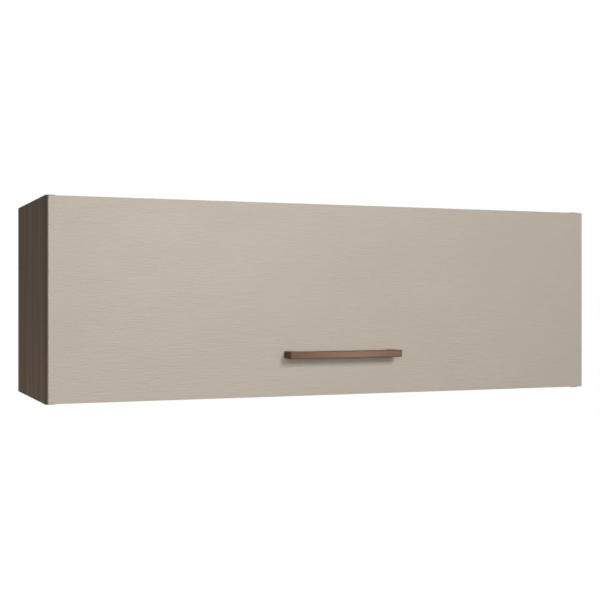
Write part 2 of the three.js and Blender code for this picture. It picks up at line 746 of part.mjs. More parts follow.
// The stud at the door's end travels with the rod. It ends `openPivotGap` short of the
// bracket's ear, because the strut's loop is opened at this pivot.
function doorStud(sx) {
  const foot = studReach - studBaseHeight;
  return join(
    turned(ballProfile(ballRadius, -ballRadius, foot + studBaseHeight / 2, studNeckRadius),
      strutPoint(sx, strutShut), sideways(-sx), socketSides),
    bar(studBaseRadius, strutPoint(sx, strutShut).addScaledVector(sideways(-sx), foot),
      sideways(-sx), studBaseHeight, socketSides),
  );
}

function doorBracket(sx) {
  const earX = strutX - studReach - openPivotGap;
  const [low, high] = [strutHead.y - doorEarFoot / 2, strutHead.y + doorEarFoot / 2];
  const ear = new THREE.Shape();
  ear.moveTo(doorGap, low);
  ear.lineTo(doorGap, high);
  ear.absarc(strutHead.x, strutHead.y, doorEarRadius, 0.45 * Math.PI, 1.55 * Math.PI, false);
  ear.closePath();
  const x0 = Math.min(sx * earX, sx * (earX - bracketThickness));
  const plate = block([sx * earX, sx * (earX - doorPlateReach)],
    [doorBack, doorBack + bracketThickness], [toZ(low), toZ(high)]);
  const holes = [-1, 1].map((s) =>
    bar(hingeScrewRadius, point(sx * (earX - doorPlateScrew), doorBack - over,
      toZ(strutHead.y + (s * doorPlateScrewSpacing) / 2)), alongY, bracketThickness + 2 * over),
  );
  return cut(join(sidePlate(ear, x0, x0 + bracketThickness), plate), ...holes);
}

for (const [side, sx] of sides) {
  piece(`strut_side_bracket_${side}`, sideBracket(sx), nickelSteel());
  piece(`strut_tube_socket_${side}`, socket(sx, 0, 1, sx), blackPlastic());
  piece(`strut_tube_${side}`, strutTube(sx), blackPaint());
  piece(`strut_rod_${side}`, strutRod(sx), chromeSteel());
  piece(`strut_rod_socket_${side}`, socket(sx, strutShut, -1, -sx), blackPlastic());
  piece(`strut_door_stud_${side}`, doorStud(sx), nickelSteel());
  piece(`strut_door_bracket_${side}`, doorBracket(sx), nickelSteel());
}

// ---------------------------------------------------------------- what turns, and where
cabinet.userData.motion = {
  doorOpening,
  doorAxis: [toY(doorAxis.x), toZ(doorAxis.y)],
  innerLinkPin: [toY(innerPivots.cup.x), toZ(innerPivots.cup.y)],
  innerLinkSwing: innerPivots.swing,
  outerLinkPin: [toY(outerPivots.cup.x), toZ(outerPivots.cup.y)],
  outerLinkSwing: outerPivots.swing,
  strutFoot: [toY(strutFoot.x), toZ(strutFoot.y)],
  strutHead: [toY(strutHead.x), toZ(strutHead.y)],
  strutX,
  strutDirection: strutDirection.toArray(),
  strutSwing,
  strutStroke: strutOpen - strutShut,
};

export default cabinet;
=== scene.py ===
# %% [markdown]
# # A lift-up wall cabinet
# The cabinet is a box of brown laminated boards that hangs on a wall. One wide beige door
# covers its front and swings up on three concealed hinges, held by two gas struts. The
# measured model gives every solid piece its size, its place and its motion. This lesson gives
# each piece its finish, adds the small fasteners, and lights the whole for a photograph.
#
# The first cell loads the measured model. Everything after it is in metres, in the same frame:
# X to the right, Y into the wall and Z up, with the origin on the wall.

# %% Load the measured model
import json
import math

import bmesh
import bpy
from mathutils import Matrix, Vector


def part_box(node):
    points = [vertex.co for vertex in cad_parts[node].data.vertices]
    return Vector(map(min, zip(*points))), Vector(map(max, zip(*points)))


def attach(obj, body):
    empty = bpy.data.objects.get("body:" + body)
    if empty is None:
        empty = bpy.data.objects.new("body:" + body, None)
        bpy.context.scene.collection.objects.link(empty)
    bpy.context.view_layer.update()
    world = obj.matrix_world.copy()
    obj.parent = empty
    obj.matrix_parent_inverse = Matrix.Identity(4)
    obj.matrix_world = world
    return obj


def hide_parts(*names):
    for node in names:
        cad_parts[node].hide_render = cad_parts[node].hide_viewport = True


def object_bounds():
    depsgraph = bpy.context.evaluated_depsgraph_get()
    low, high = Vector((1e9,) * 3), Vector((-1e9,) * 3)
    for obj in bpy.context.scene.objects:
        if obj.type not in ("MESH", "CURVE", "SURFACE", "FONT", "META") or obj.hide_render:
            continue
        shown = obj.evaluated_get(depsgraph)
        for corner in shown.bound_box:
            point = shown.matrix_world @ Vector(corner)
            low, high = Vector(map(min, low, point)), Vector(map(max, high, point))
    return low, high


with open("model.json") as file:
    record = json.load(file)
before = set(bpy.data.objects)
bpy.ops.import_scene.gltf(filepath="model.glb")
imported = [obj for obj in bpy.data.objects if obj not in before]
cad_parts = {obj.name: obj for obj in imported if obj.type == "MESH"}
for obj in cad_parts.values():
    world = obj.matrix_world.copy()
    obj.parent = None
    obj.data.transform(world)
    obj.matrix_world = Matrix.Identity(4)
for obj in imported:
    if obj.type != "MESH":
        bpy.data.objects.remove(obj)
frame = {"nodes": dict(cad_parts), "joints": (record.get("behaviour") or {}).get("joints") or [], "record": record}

nodes = frame["nodes"]
cad_low, cad_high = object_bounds()
MM = 0.001
print("nodes:", len(nodes), "size in mm:", [round(side / MM, 1) for side in cad_high - cad_low])

# %% [markdown]
# Most sizes below are read from the boards instead of being typed again, so that the fasteners
# and the finishes stay right if a board changes. The carcass's front edges, the inner faces of
# the sides and the ceiling are used most.

# %% Places read from the boards
side_low, side_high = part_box("left_side_panel")
top_low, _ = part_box("top_panel")
door_low, door_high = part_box("lift_door")
back_low, back_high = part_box("back_panel")
handle_low, handle_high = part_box("bar_handle")
front_edge_y = side_low.y
inner_x = -side_high.x
ceiling_z = top_low.z
door_back_y = door_high.y
print("front edges at y =", round(front_edge_y, 4), "inner faces at x = ±", round(inner_x, 4))

# %% [markdown]
# ## Camera
# The photograph was taken from the left of the cabinet, level with its middle, with a long
# lens. In such a view upright edges stay parallel, so the camera is level, without any shift.
# The lens and the width of the sensor are in millimetres, as on a real camera.

# %% Camera
CAMERA_PLACE = Vector((-0.8052, -2.1167, -0.0005))
CAMERA_YAW = math.radians(22.017)
CAMERA_LENS = 68.83
SENSOR_WIDTH = 36.0


def add_object(name, data):
    made = bpy.data.objects.new(name, data)
    bpy.context.scene.collection.objects.link(made)
    return made


camera_data = bpy.data.cameras.new("camera")
camera_data.lens = CAMERA_LENS
camera_data.sensor_width = SENSOR_WIDTH
camera = add_object("camera", camera_data)
camera.location = CAMERA_PLACE
camera.rotation_euler = (math.pi / 2, 0.0, -CAMERA_YAW)
bpy.context.scene.camera = camera
bpy.context.scene.view_settings.view_transform = "Standard"
print("camera", round((CAMERA_PLACE - Vector((0, door_low.y, 0))).length, 2), "m from the door")

# %% [markdown]
# ## Building node trees
# A finish is a small network of nodes. Adding each node and each link by hand would take pages,
# so short helpers keep the recipes readable. One adds a node and fills its inputs with a value or
# with a link, and one turns a colour as a screen shows it into the linear numbers that a shader
# works with. The others mix two colours, do one sum, and stretch one range of numbers to another.

# %% Helpers for node trees
# A Mix node keeps sockets for every kind of data. These are the places of the ones for colour.
MIX_FACTOR, MIX_FIRST, MIX_SECOND, MIX_RESULT = 0, 6, 7, 2


def plug(tree, socket, value):
    if isinstance(value, bpy.types.NodeSocket):
        tree.links.new(value, socket)
    else:
        socket.default_value = value


def plug_all(tree, node, inputs):
    for key, value in inputs.items():
        plug(tree, node.inputs[key], value)


def add_node(tree, kind, inputs=None, **settings):
    node = tree.nodes.new(kind)
    for name, value in settings.items():
        setattr(node, name, value)
    plug_all(tree, node, inputs or {})
    return node


def colour(red, green, blue):
    def linear(level):
        share = level / 255
        return share / 12.92 if share <= 0.04045 else ((share + 0.055) / 1.055) ** 2.4

    return (linear(red), linear(green), linear(blue), 1.0)


def mix_colours(tree, factor, first, second):
    inputs = {MIX_FACTOR: factor, MIX_FIRST: first, MIX_SECOND: second}
    return add_node(tree, "ShaderNodeMix", inputs, data_type="RGBA").outputs[MIX_RESULT]


def remap(tree, value, low, high, to_low, to_high):
    ranges = {"From Min": low, "From Max": high, "To Min": to_low, "To Max": to_high}
    return add_node(tree, "ShaderNodeMapRange", {"Value": value, **ranges}).outputs["Result"]


def between(tree, share, at_none, at_all):
    """Goes from one number to another as the share goes from 0 to 1."""
    return remap(tree, share, 0.0, 1.0, at_none, at_all)


def math_node(tree, operation, first, second=0.0):
    return add_node(tree, "ShaderNodeMath", {0: first, 1: second}, operation=operation).outputs[0]


def times(tree, first, second):
    return math_node(tree, "MULTIPLY", first, second)


print("a mid grey of 128 is", round(colour(128, 128, 128)[0], 3), "in linear light")

# %% [markdown]
# Printed and embossed boards are patterns that are much longer along the grain than across it.
# Stretched noise gives that: the mapping says how many cells fit in a metre along each axis.
# The noise reads Object coordinates, because each piece's place is in its mesh, so the pattern
# stays on the board when the door swings up. Noise seldom leaves the middle of its range, so a
# recipe mostly spreads that middle part over the range that it needs.

# %% Stretched noise and bump
NOISE_LOW, NOISE_HIGH = 0.3, 0.7
NOISE_MIDDLE = (0.5, 0.5, 0.5)


def object_place(tree):
    return add_node(tree, "ShaderNodeTexCoord").outputs["Object"]


def place_along(tree, axis):
    return add_node(tree, "ShaderNodeSeparateXYZ", {0: object_place(tree)}).outputs[axis]


def evenly(cells_per_metre):
    """The same number of cells along x, y and z, for a pattern without a grain."""
    return (cells_per_metre, cells_per_metre, cells_per_metre)


def noise(tree, cells_per_metre, detail=2.0, roughness=0.5, place=None):
    mapped = add_node(tree, "ShaderNodeMapping",
                      {"Vector": place or object_place(tree), "Scale": cells_per_metre})
    inputs = {"Vector": mapped.outputs[0], "Scale": 1.0, "Detail": detail, "Roughness": roughness}
    return add_node(tree, "ShaderNodeTexNoise", inputs).outputs[0]


def spread(tree, value, to_low, to_high):
    return remap(tree, value, NOISE_LOW, NOISE_HIGH, to_low, to_high)


def vector_math(tree, operation, inputs):
    return add_node(tree, "ShaderNodeVectorMath", inputs, operation=operation).outputs[0]


def wavy_place(tree, cells_per_metre, reach):
    """Object coordinates pushed about by slow noise, so that straight grain lines wander."""
    place = object_place(tree)
    slow = add_node(tree, "ShaderNodeMapping", {"Vector": place, "Scale": cells_per_metre})
    drift = add_node(tree, "ShaderNodeTexNoise", {"Vector": slow.outputs[0], "Scale": 1.0})
    centred = vector_math(tree, "SUBTRACT", {0: drift.outputs["Color"], 1: NOISE_MIDDLE})
    scaled = vector_math(tree, "SCALE", {0: centred, "Scale": reach})
    return vector_math(tree, "ADD", {0: place, 1: scaled})


def bump(tree, height, depth, strength=1.0):
    inputs = {"Height": height, "Distance": depth, "Strength": strength}
    return add_node(tree, "ShaderNodeBump", inputs).outputs[0]


print("noise from", NOISE_LOW, "to", NOISE_HIGH, "is spread")

# %% [markdown]
# A material starts as one shader and an output. The Principled shader covers board, metal, paint
# and plastic alike, so each finish below only has to say what varies over its surface.

# %% A material to start from
def empty_tree(owner):
    """Switches on the nodes of a material or of the world, and clears the ready-made ones."""
    owner.use_nodes = True
    owner.node_tree.nodes.clear()
    return owner.node_tree


def new_finish(name, roughness, metallic=0.0, specular=0.5):
    """A material with one shader. Where a recipe varies the roughness, this is about its average."""
    finish = bpy.data.materials.new(name)
    tree = empty_tree(finish)
    shader = add_node(
        tree,
        "ShaderNodeBsdfPrincipled",
        {"Roughness": roughness, "Metallic": metallic, "Specular IOR Level": specular},
    )
    add_node(tree, "ShaderNodeOutputMaterial", {"Surface": shader.outputs["BSDF"]})
    return finish, tree, shader


print("materials so far:", len(bpy.data.materials))

# %% [markdown]
# ## The door's beige laminate
# The door is faced with a pale laminate whose surface is pressed with a fine, level wood grain.
# The print under it is almost plain. So the colour changes very little, and the look comes from a shallow bump:
# long wavy lines about two millimetres apart with short fibres between them, shallower in some patches than in
# others. The bands on the door's two ends are duller than its face and almost smooth, and their colour is a
# greyer, darker beige: painted shade on the ends. As they have no solid of their own, the finish finds them by
# place.

# %% Beige door laminate
DOOR_EDGE_BAND = 0.25 * MM
EMBOSS_DEPTH = 0.58 * MM
BAND_EMBOSS = 0.2
FIBRE_SHARE = 0.5
DOOR_DARK, DOOR_LIGHT = colour(180, 170, 156), colour(187, 177, 163)
# The second colour is the door ends' beige, greyed and darkened with painted shade.
DOOR_CLOUD, DOOR_END_PAINTED_SHADE = colour(178, 168, 154), colour(155, 148, 138)


def end_bands(tree, depth):
    """1 on the bands over the door's two upright edges, and 0 on its faces."""
    from_middle = math_node(tree, "ABSOLUTE", place_along(tree, "X"))
    return math_node(tree, "GREATER_THAN", from_middle, door_high.x - depth)


def beige_laminate():
    finish, tree, shader = new_finish("beige_embossed_laminate", roughness=0.5)
    wandering = wavy_place(tree, (9, 14, 14), reach=0.009)
    lines = noise(tree, (36, 560, 560), roughness=0.6, place=wandering)
    fibres = noise(tree, (200, 680, 680), place=wandering)
    patches = noise(tree, (6, 12, 12), detail=1)
    depth = remap(tree, patches, low=0.34, high=0.64, to_low=0.6, to_high=1.0)
    carved = times(tree, lines, depth)
    height = math_node(tree, "ADD", carved, times(tree, fibres, FIBRE_SHARE))
    base = mix_colours(tree, spread(tree, lines, 0.0, 1.0), DOOR_DARK, DOOR_LIGHT)
    cloud = spread(tree, noise(tree, (3, 6, 6)), 0.0, 0.35)
    face = mix_colours(tree, cloud, base, DOOR_CLOUD)
    # On the ends the colour is painted shade; their dull, nearly flat surface is their own.
    band = end_bands(tree, DOOR_EDGE_BAND)
    satin = remap(tree, carved, low=0.1, high=0.6, to_low=0.46, to_high=0.56)
    pressed = between(tree, band, 1.0, BAND_EMBOSS)
    plug_all(tree, shader, {
        "Base Color": mix_colours(tree, band, face, DOOR_END_PAINTED_SHADE),
        "Roughness": math_node(tree, "MAXIMUM", satin, band),
        "Normal": bump(tree, height, EMBOSS_DEPTH, pressed),
    })
    return finish


door_finish = beige_laminate()
print("made", door_finish.name)

# %% [markdown]
# ## The carcass's brown laminate
# The boards of the box carry a dark brown print with straight grain: broad slow streaks, finer
# lines in them, and short dark pores. The grain runs upright on the sides and along the cabinet
# on the top, the bottom and the rail. The front edges carry a thin, redder band. The band has
# no solid of its own, so the finish finds it by place: it is whatever lies within a little over
# half a millimetre of the front edges.

# %% Brown board laminate with its edge band
EDGE_BAND = 0.6 * MM
PORE_DEPTH = 0.04 * MM
BROAD_SHARE, LINES_SHARE = 0.65, 0.35
PORE_STAIN = 0.35
LINES_RELIEF = 0.5
WOOD_DARK, WOOD_LIGHT, WOOD_PORE = colour(111, 94, 80), colour(156, 136, 120), colour(88, 73, 62)
BAND_DARK, BAND_LIGHT = colour(101, 74, 57), colour(118, 88, 70)


def along_grain(axis, across, along):
    """Cells per metre along x, y and z for grain that runs along one axis."""
    return tuple(along if name == axis else across for name in "xyz")


def front_band(tree, depth):
    """1 on the band over the carcass's front edges, and 0 on the board behind it."""
    return math_node(tree, "LESS_THAN", place_along(tree, "Y"), front_edge_y + depth)


def brown_laminate(name, axis):
    finish, tree, shader = new_finish(name, roughness=0.75, specular=0.02)
    wandering = wavy_place(tree, along_grain(axis, 5, 2), reach=0.012)
    broad = noise(tree, along_grain(axis, 38, 1.2), place=wandering)
    lines = noise(tree, along_grain(axis, 260, 5), detail=3, roughness=0.6, place=wandering)
    pores = noise(tree, along_grain(axis, 1500, 90), detail=1, place=wandering)
    pore = remap(tree, pores, low=0.66, high=0.74, to_low=0.0, to_high=1.0)
    shade = math_node(tree, "ADD", times(tree, broad, BROAD_SHARE), times(tree, lines, LINES_SHARE))
    tone = remap(tree, shade, low=0.34, high=0.66, to_low=0.0, to_high=1.0)
    wood = mix_colours(tree, tone, WOOD_DARK, WOOD_LIGHT)
    wood = mix_colours(tree, times(tree, pore, PORE_STAIN), wood, WOOD_PORE)
    band = mix_colours(tree, spread(tree, lines, 0.0, 1.0), BAND_DARK, BAND_LIGHT)
    height = math_node(tree, "SUBTRACT", times(tree, lines, LINES_RELIEF), pore)
    plug_all(tree, shader, {
        "Base Color": mix_colours(tree, front_band(tree, EDGE_BAND), wood, band),
        "Roughness": spread(tree, shade, 0.7, 0.8),
        "Normal": bump(tree, height, PORE_DEPTH),
    })
    return finish


upright_finish = brown_laminate("brown_laminate_upright_grain", "z")
level_finish = brown_laminate("brown_laminate_level_grain", "x")
print("made", upright_finish.name, "and", level_finish.name)

# %% [markdown]
# ## The back panel
# The back is a thin pressed-fibre board. Its face in the cabinet is printed like the boards, and
# the face on the wall is bare fibre: a warm mid brown, speckled with fibres at every angle.

# %% Pressed-fibre back board
PRINT_THICKNESS = 0.3 * MM
FLECK_DEPTH = 0.05 * MM
FIBRE_DARK, FIBRE_LIGHT = colour(138, 110, 82), colour(166, 138, 106)
FIBRE_CLOUD = colour(146, 116, 88)
PRINT_DARK, PRINT_LIGHT = colour(118, 101, 89), colour(142, 123, 109)


def fibre_board():
    finish, tree, shader = new_finish("fibre_back_board", roughness=0.75, specular=0.2)
    fleck = noise(tree, evenly(420), detail=4, roughness=0.7)
    cloud = noise(tree, evenly(14))
    tone = remap(tree, fleck, low=0.35, high=0.65, to_low=0.0, to_high=1.0)
    bare = mix_colours(tree, tone, FIBRE_DARK, FIBRE_LIGHT)
    bare = mix_colours(tree, spread(tree, cloud, 0.0, 0.4), bare, FIBRE_CLOUD)
    lines = noise(tree, (5, 240, 240), detail=3, roughness=0.6)
    printed = mix_colours(tree, spread(tree, lines, 0.0, 1.0), PRINT_DARK, PRINT_LIGHT)
    inside = math_node(tree, "LESS_THAN", place_along(tree, "Y"), back_low.y + PRINT_THICKNESS)
    plug_all(tree, shader, {
        "Base Color": mix_colours(tree, inside, bare, printed),
        "Normal": bump(tree, fleck, FLECK_DEPTH),
    })
    return finish


back_finish = fibre_board()
print("made", back_finish.name)

# %% [markdown]
# ## Metals, paint and plastic
# The handle has a satin copper coating, which is partly a paint: it shades from bright to dark
# like one, with only a soft shine, and stays coppery even at a glancing angle. It is brushed
# along its length. The fittings are nickel-plated steel with faint marks of pressing, the cams
# are cast zinc, which is duller and mottled, and the strut's rod is polished chrome. Each metal
# gets its own break-up of shine, because a perfectly even metal looks like a drawing. The metals
# of the fittings differ only in numbers, so one recipe serves the three.

# %% Metal finishes
BRUSH_DEPTH = 0.003 * MM
FINE_PER_COARSE = 7
DULLER, SHINIER = 1.12, 0.9
COPPER_DARK, COPPER_LIGHT = colour(96, 75, 62), colour(104, 82, 68)
COPPER_CLOUD, COPPER_GLANCE = colour(99, 77, 64), colour(160, 134, 118)


def copper_coating():
    finish, tree, shader = new_finish("satin_copper_coating", roughness=0.22, metallic=0.3,
                                      specular=0.05)
    brushed = noise(tree, (30, 2600, 2600))
    cloud = noise(tree, (24, 60, 60))
    base = mix_colours(tree, spread(tree, brushed, 0.0, 1.0), COPPER_DARK, COPPER_LIGHT)
    plug_all(tree, shader, {
        "Base Color": mix_colours(tree, spread(tree, cloud, 0.0, 0.5), base, COPPER_CLOUD),
        "Specular Tint": COPPER_GLANCE,
        "Roughness": spread(tree, brushed, 0.19, 0.25),
        "Normal": bump(tree, brushed, BRUSH_DEPTH),
    })
    return finish


def plated_metal(name, dark, light, roughness, mottle, depth):
    finish, tree, shader = new_finish(name, roughness=roughness, metallic=1.0)
    cloud = noise(tree, evenly(mottle), detail=3, roughness=0.6)
    fine = noise(tree, evenly(mottle * FINE_PER_COARSE))
    plug_all(tree, shader, {
        "Base Color": mix_colours(tree, spread(tree, cloud, 0.0, 1.0), dark, light),
        "Roughness": spread(tree, fine, roughness * SHINIER, roughness * DULLER),
        "Normal": bump(tree, fine, depth),
    })
    return finish


handle_finish = copper_coating()
nickel_finish = plated_metal("nickel_plated_steel", colour(200, 199, 194), colour(214, 213, 208),
                             roughness=0.33, mottle=110, depth=0.003 * MM)
zinc_finish = plated_metal("cast_zinc", colour(146, 148, 150), colour(178, 180, 181),
                           roughness=0.48, mottle=320, depth=0.04 * MM)
chrome_finish = plated_metal("polished_chrome", colour(214, 216, 218), colour(226, 228, 229),
                             roughness=0.09, mottle=90, depth=0.002 * MM)
print("made", handle_finish.name, nickel_finish.name, zinc_finish.name, chrome_finish.name)

# %% [markdown]
# The strut's tube has black paint with the slight ripple that sprayed paint has, and its ball
# sockets are moulded black nylon with a fine matt texture. Both are a plain dark colour whose
# shine is broken up, so they share a recipe and differ in the size and depth of the texture. The
# door's bumpers are clear soft buttons, which let most of the light through.

# %% Paint, plastic and silicone
BLACK_LIGHT = colour(40, 40, 42)
SILICONE_DARK, SILICONE_LIGHT = colour(226, 226, 220), colour(240, 240, 236)
RIPPLE_DULLER, RIPPLE_SHINIER = 1.15, 0.85


def black_coating(name, base, roughness, cells, depth, specular):
    finish, tree, shader = new_finish(name, roughness=roughness, specular=specular)
    ripple = noise(tree, evenly(cells))
    plug_all(tree, shader, {
        "Base Color": mix_colours(tree, spread(tree, ripple, 0.0, 1.0), base, BLACK_LIGHT),
        "Roughness": spread(tree, ripple, roughness * RIPPLE_SHINIER, roughness * RIPPLE_DULLER),
        "Normal": bump(tree, ripple, depth),
    })
    return finish


def clear_button():
    finish, tree, shader = new_finish("clear_silicone", roughness=0.22)
    haze = mix_colours(tree, noise(tree, evenly(500)), SILICONE_DARK, SILICONE_LIGHT)
    plug_all(tree, shader, {"Base Color": haze, "Transmission Weight": 0.75, "IOR": 1.41})
    return finish


paint_finish = black_coating("black_tube_paint", colour(28, 28, 30), roughness=0.36, cells=420,
                             depth=0.015 * MM, specular=0.5)
nylon_finish = black_coating("black_nylon", colour(30, 30, 31), roughness=0.52, cells=2200,
                             depth=0.02 * MM, specular=0.4)
bumper_finish = clear_button()
print("made", paint_finish.name, nylon_finish.name, bumper_finish.name)

# %% [markdown]
# ## Dressing the measured pieces
# Every measured piece gets its finish by the kind of piece it is, in one table. The record that
# came with the model already names a finish for each piece, so the table goes from those names
# to the finishes above, and the two grain directions are told apart by the board's name.

# %% Give each measured piece its finish
FINISH_OF_SLOT = {
    "brown_board": level_finish,
    "back_board": back_finish,
    "door_board": door_finish,
    "handle_metal": handle_finish,
    "screw_steel": nickel_finish,
    "cam_zinc": zinc_finish,
    "clear_bumper": bumper_finish,
    "hinge_steel": nickel_finish,
    "bracket_steel": nickel_finish,
    "black_plastic": nylon_finish,
    "black_paint": paint_finish,
    "rod_chrome": chrome_finish,
}
UPRIGHT_BOARDS = ("left_side_panel", "right_side_panel")

slot_of_node = {part["node"]: part["material_slot"] for part in frame["record"]["subparts"]}

for name, node in nodes.items():
    finish = FINISH_OF_SLOT[slot_of_node[name]]
    if name in UPRIGHT_BOARDS:
        finish = upright_finish
    node.data.materials.clear()
    node.data.materials.append(finish)
print("dressed", len(nodes), "pieces in", len(set(slot_of_node.values())), "finishes")

# %% [markdown]
# ## Smooth shading
# A measured piece arrives as loose triangles. The fittings are turned, cast or pressed, so their
# round sides should shade smoothly while their edges stay crisp. Geometry Nodes can say exactly
# that: merge the loose triangles, shade every face smooth, and then mark each edge as sharp where
# its two faces meet at more than a set angle. One tree serves all pieces, and no solid changes.

# %% Smooth shading for round sides
WELD_REACH = 0.002 * MM
SHARP_ANGLE = math.radians(35)


def new_tree(name, inputs):
    """An empty Geometry Nodes tree with a geometry input and named inputs for sizes."""
    tree = bpy.data.node_groups.new(name, "GeometryNodeTree")
    tree.interface.new_socket("Geometry", in_out="OUTPUT", socket_type="NodeSocketGeometry")
    tree.interface.new_socket("Geometry", in_out="INPUT", socket_type="NodeSocketGeometry")
    for label, kind in inputs.items():
        tree.interface.new_socket(label, in_out="INPUT", socket_type=f"NodeSocket{kind}")
    return tree, tree.nodes.new("NodeGroupInput"), tree.nodes.new("NodeGroupOutput")


def input_name(tree, label):
    """A modifier keeps its inputs under the sockets' identifiers, not under their labels."""
    for socket in tree.interface.items_tree:
        if socket.in_out == "INPUT" and socket.name == label:
            return socket.identifier
    raise KeyError(label)


def shade_by_angle(tree, mesh, angle):
    smooth = add_node(tree, "GeometryNodeSetShadeSmooth", {"Geometry": mesh}, domain="FACE")
    bend = add_node(tree, "GeometryNodeInputMeshEdgeAngle").outputs["Unsigned Angle"]
    sharp = add_node(tree, "FunctionNodeCompare", {0: bend, 1: angle}, operation="GREATER_THAN")
    inputs = {"Geometry": smooth.outputs[0], "Selection": sharp.outputs[0], "Shade Smooth": False}
    return add_node(tree, "GeometryNodeSetShadeSmooth", inputs, domain="EDGE").outputs[0]


def smooth_shading_tree():
    tree, given, made = new_tree("smooth_shading", {"Merge Reach": "Float", "Sharp Angle": "Float"})
    inputs = {"Geometry": given.outputs["Geometry"], "Distance": given.outputs["Merge Reach"]}
    merged = add_node(tree, "GeometryNodeMergeByDistance", inputs)
    shaded = shade_by_angle(tree, merged.outputs[0], given.outputs["Sharp Angle"])
    plug(tree, made.inputs[0], shaded)
    return tree


def set_inputs(modifier, values):
    for label, value in values.items():
        modifier[input_name(modifier.node_group, label)] = value


smooth_tree = smooth_shading_tree()
for node in nodes.values():
    modifier = node.modifiers.new("smooth_shading", "NODES")
    modifier.node_group = smooth_tree
    set_inputs(modifier, {"Merge Reach": WELD_REACH, "Sharp Angle": SHARP_ANGLE})
print("smooth shading on", len(nodes), "pieces")

# %% [markdown]
# ## Soft edges
# No real board has a knife edge: laminate is trimmed with a small round, and it is that round
# which catches the light and draws the outline. The handle's bar is broken at its edges too, by
# about as much. A Bevel modifier rounds the sharp edges, and its hardened normals keep the flat
# faces flat, so that only the round turns the light. The solid itself stays as it was measured.

# %% Round the edges of the boards and the handle
BOARD_EDGE = 0.5 * MM
EDGE_SEGMENTS = 2
ROUNDED = ("left_side_panel", "right_side_panel", "top_panel", "bottom_panel", "hanging_rail",
           "lift_door", "bar_handle")


def round_edges(piece, width):
    bevel = piece.modifiers.new("rounded_edge", "BEVEL")
    bevel.width = width
    bevel.segments = EDGE_SEGMENTS
    bevel.limit_method = "ANGLE"
    bevel.angle_limit = SHARP_ANGLE
    bevel.harden_normals = True


for name in ROUNDED:
    round_edges(nodes[name], BOARD_EDGE)
print("rounded", len(ROUNDED), "pieces by", BOARD_EDGE / MM, "mm")

# %% [markdown]
# ## Small screws
# The fittings are held by chipboard screws: a domed head with a plain cross recess, and a shank
# that goes through the hole into the board. Modelling one by hand and copying it would work,
# but a Geometry Nodes tree keeps every size open. First come the two shapes that take some
# thought: a disc and a ball are intersected for the dome, and tapered wedges cut the recess.

# %% The screw's head and recess
HEAD_SIDES = 24
WEDGE_SIDES = 4
TAPER = 0.6


def moved(tree, mesh, place=(0, 0, 0), turn=(0, 0, 0), size=(1, 1, 1)):
    inputs = {"Geometry": mesh, "Translation": place, "Rotation": turn, "Scale": size}
    return add_node(tree, "GeometryNodeTransform", inputs).outputs[0]


def cone(tree, sides, top, foot, depth):
    sizes = {"Vertices": sides, "Radius Top": top, "Radius Bottom": foot, "Depth": depth}
    return add_node(tree, "GeometryNodeMeshCone", sizes).outputs["Mesh"]


def upward(tree, height):
    return add_node(tree, "ShaderNodeCombineXYZ", {"Z": height}).outputs[0]


def boolean(tree, operation, first, others):
    node = tree.nodes.new("GeometryNodeMeshBoolean")
    node.operation = operation
    node.solver = "EXACT"
    if operation == "DIFFERENCE":
        tree.links.new(first, node.inputs["Mesh 1"])
    else:
        others = [first, *others]
    for mesh in others:
        tree.links.new(mesh, node.inputs["Mesh 2"])
    return node.outputs["Mesh"]


def domed_head(tree, radius, height, rim):
    """A disc cut to a dome: the ball that does it passes through the disc's rim."""
    crown = math_node(tree, "SUBTRACT", height, rim)
    squares = math_node(tree, "ADD", times(tree, radius, radius), times(tree, crown, crown))
    ball_radius = math_node(tree, "DIVIDE", squares, times(tree, crown, 2.0))
    ball = add_node(tree, "GeometryNodeMeshUVSphere",
                    {"Segments": HEAD_SIDES, "Rings": 2 * HEAD_SIDES, "Radius": ball_radius})
    ball_place = upward(tree, math_node(tree, "SUBTRACT", height, ball_radius))
    twice = times(tree, height, 2.0)
    disc = add_node(tree, "GeometryNodeMeshCylinder",
                    {"Vertices": HEAD_SIDES, "Radius": radius, "Depth": twice})
    raised = moved(tree, disc.outputs["Mesh"], upward(tree, height))
    return boolean(tree, "INTERSECT", raised, [moved(tree, ball.outputs["Mesh"], ball_place)])


def recess_wedge(tree, span, width, depth, height, turn):
    """A four-sided cone, squeezed to a slot that is narrower at its foot."""
    to_corner = times(tree, span, math.sqrt(0.5))
    block = cone(tree, WEDGE_SIDES, to_corner, times(tree, to_corner, TAPER),
                 times(tree, depth, 2.0))
    squared = moved(tree, block, turn=(0, 0, math.pi / 4))
    thin = add_node(tree, "ShaderNodeCombineXYZ",
                    {"X": 1.0, "Y": math_node(tree, "DIVIDE", width, span), "Z": 1.0})
    slot = moved(tree, squared, size=thin.outputs[0])
    foot = upward(tree, math_node(tree, "SUBTRACT", height, depth))
    return moved(tree, slot, place=foot, turn=(0, 0, turn))


print("a screw's head has", HEAD_SIDES, "sides, and its recess narrows to", TAPER)

# %% [markdown]
# The tree joins the shank to the head and places the screw on each point of a small mesh. A
# vector stored on each point says which way its screw faces, and a seeded random turn keeps the
# crosses from standing in line, as no fitter lines them up. An export drops copies that aren't
# real, so the tree ends by making them real and giving them their finish.

# %% The screw's node tree
SHANK_SIDES = 12


def end_tree(tree, made, copies, finish):
    real = add_node(tree, "GeometryNodeRealizeInstances", {"Geometry": copies})
    finished = add_node(tree, "GeometryNodeSetMaterial",
                        {"Geometry": real.outputs[0], "Material": finish})
    plug(tree, made.inputs[0], finished.outputs[0])


def number_socket(sockets, label):
    """The socket for a plain number, on a node that keeps one for every kind of data."""
    return next(socket for socket in sockets if socket.name == label and socket.type == "VALUE")


